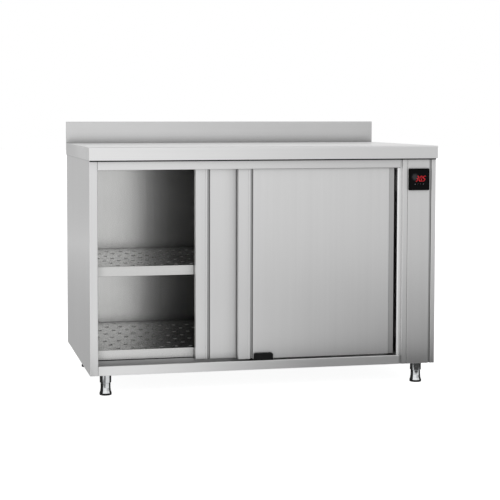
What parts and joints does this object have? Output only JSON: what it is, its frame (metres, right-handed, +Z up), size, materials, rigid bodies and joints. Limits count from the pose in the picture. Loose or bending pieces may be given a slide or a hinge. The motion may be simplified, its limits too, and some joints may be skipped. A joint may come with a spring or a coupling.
{
  "type": "heated cupboard",
  "caption": "Stainless-steel heated floor cupboard with worktop and rear upstand, sliding front doors on top rollers, perforated shelves, fan heater, digital thermostat and levelling feet.",
  "frame": {"origin": "on the floor, under the centre of the overall box", "axes": "+Z up, the doors face -Y, the control column is at +X"},
  "size_m": [1.2, 0.7, 0.9],
  "materials": {
    "stainless": "satin",
    "stainless_lining": "satin",
    "galvanised_steel": "matte",
    "insulation": "matte",
    "polished_steel": "polished",
    "heater_steel": "satin",
    "aluminium": "satin",
    "motor_enamel": "satin",
    "controller_black": "gloss",
    "black_plastic": "matte",
    "white_plastic": "satin",
    "stop_rubber": "matte"
  },
  "bodies": {
    "cabinet": {"back_inner_wall": "stainless_lining", "back_insulation": "insulation", "back_panel": "stainless", "base_pan": "galvanised_steel", "bottom_guide": "black_plastic", "bottom_rail": "stainless", "cable_gland": "black_plastic", "ceiling_insulation": "insulation", "ceiling_panel": "stainless_lining", "control_panel": "stainless", "controller_bezel": "controller_black", "controller_housing": "black_plastic", "door_stops": "stop_rubber", "door_track": "galvanised_steel", "duct_cover": "stainless_lining", "fan_bracket": "galvanised_steel", "fan_motor": "motor_enamel", "floor_insulation": "insulation", "floor_panel": "stainless_lining", "heater_ring": "heater_steel", "inner_post": "stainless", "left_inner_wall": "stainless_lining", "left_insulation": "insulation", "left_shelf_rack": "stainless_lining", "left_side_panel": "stainless", "leg_tubes": "stainless", "partition_cold_wall": "galvanised_steel", "partition_hot_wall": "stainless_lining", "partition_insulation": "insulation", "right_shelf_rack": "stainless_lining", "right_side_panel": "stainless", "safety_thermostat": "black_plastic", "temperature_probe": "heater_steel", "terminal_block": "white_plastic", "top_rail": "stainless", "worktop": "stainless", "worktop_frame": "galvanised_steel"},
    "right_door": {"right_door_skin": "stainless", "right_door_core": "insulation", "right_door_inner_skin": "stainless_lining", "right_door_hanger": "galvanised_steel"},
    "right_door_roller_1": {"right_door_roller_1": "white_plastic"},
    "right_door_roller_2": {"right_door_roller_2": "white_plastic"},
    "left_door": {"left_door_skin": "stainless", "left_door_core": "insulation", "left_door_inner_skin": "stainless_lining", "left_door_hanger": "galvanised_steel"},
    "left_door_roller_1": {"left_door_roller_1": "white_plastic"},
    "left_door_roller_2": {"left_door_roller_2": "white_plastic"},
    "fan": {"fan_impeller": "aluminium"},
    "key_1": {"key_1": "controller_black"},
    "key_2": {"key_2": "controller_black"},
    "key_3": {"key_3": "controller_black"},
    "key_4": {"key_4": "controller_black"},
    "foot_front_left": {"foot_front_left": "polished_steel"},
    "foot_front_right": {"foot_front_right": "polished_steel"},
    "foot_back_left": {"foot_back_left": "polished_steel"},
    "foot_back_right": {"foot_back_right": "polished_steel"},
    "middle_shelf": {"middle_shelf": "stainless_lining"},
    "lower_shelf": {"lower_shelf": "stainless_lining"}
  },
  "joints": [
    {"name": "right_door_slide", "type": "slide", "parent": "cabinet", "child": "right_door", "axis": [1, 0, 0], "range_m": [-0.4708, 0.0137]},
    {"name": "right_door_roller_1_spin", "type": "hinge", "parent": "right_door", "child": "right_door_roller_1", "pos_m": [-0.0259, -0.313, 0.7913], "axis": [0, 1, 0], "range_deg": [-2454, 73]},
    {"name": "right_door_roller_2_spin", "type": "hinge", "parent": "right_door", "child": "right_door_roller_2", "pos_m": [0.3821, -0.313, 0.7913], "axis": [0, 1, 0], "range_deg": [-2454, 73]},
    {"name": "left_door_slide", "type": "slide", "parent": "cabinet", "child": "left_door", "axis": [1, 0, 0], "range_m": [-0.3297, 0.1548]},
    {"name": "left_door_roller_1_spin", "type": "hinge", "parent": "left_door", "child": "left_door_roller_1", "pos_m": [-0.167, -0.293, 0.7913], "axis": [0, 1, 0], "range_deg": [-1719, 808]},
    {"name": "left_door_roller_2_spin", "type": "hinge", "parent": "left_door", "child": "left_door_roller_2", "pos_m": [0.241, -0.293, 0.7913], "axis": [0, 1, 0], "range_deg": [-1719, 808]},
    {"name": "fan_spin", "type": "hinge", "parent": "cabinet", "child": "fan", "pos_m": [0.4581, 0.0255, 0.42], "axis": [1, 0, 0], "continuous": true},
    {"name": "key_1_press", "type": "slide", "parent": "cabinet", "child": "key_1", "axis": [0, 1, 0], "range_m": [0, 0.0008], "stiffness_N_per_m": 400, "springref_m": -0.0004},
    {"name": "key_2_press", "type": "slide", "parent": "cabinet", "child": "key_2", "axis": [0, 1, 0], "range_m": [0, 0.0008], "stiffness_N_per_m": 400, "springref_m": -0.0004},
    {"name": "key_3_press", "type": "slide", "parent": "cabinet", "child": "key_3", "axis": [0, 1, 0], "range_m": [0, 0.0008], "stiffness_N_per_m": 400, "springref_m": -0.0004},
    {"name": "key_4_press", "type": "slide", "parent": "cabinet", "child": "key_4", "axis": [0, 1, 0], "range_m": [0, 0.0008], "stiffness_N_per_m": 400, "springref_m": -0.0004},
    {"name": "foot_front_left_level", "type": "slide", "parent": "cabinet", "child": "foot_front_left", "axis": [0, 0, -1], "range_m": [0, 0.03]},
    {"name": "foot_front_right_level", "type": "slide", "parent": "cabinet", "child": "foot_front_right", "axis": [0, 0, -1], "range_m": [0, 0.03]},
    {"name": "foot_back_left_level", "type": "slide", "parent": "cabinet", "child": "foot_back_left", "axis": [0, 0, -1], "range_m": [0, 0.03]},
    {"name": "foot_back_right_level", "type": "slide", "parent": "cabinet", "child": "foot_back_right", "axis": [0, 0, -1], "range_m": [0, 0.03]},
    {"name": "middle_shelf_lift", "type": "slide", "parent": "cabinet", "child": "middle_shelf", "axis": [0, 0, 1], "range_m": [0, 0.025]},
    {"name": "lower_shelf_lift", "type": "slide", "parent": "cabinet", "child": "lower_shelf", "axis": [0, 0, 1], "range_m": [0, 0.025]}
  ],
  "couplings": [
    {"joint": "right_door_roller_1_spin", "follows": "right_door_slide", "rad_per_m": 90.909},
    {"joint": "right_door_roller_2_spin", "follows": "right_door_slide", "rad_per_m": 90.909},
    {"joint": "left_door_roller_1_spin", "follows": "left_door_slide", "rad_per_m": 90.909},
    {"joint": "left_door_roller_2_spin", "follows": "left_door_slide", "rad_per_m": 90.909}
  ]
}
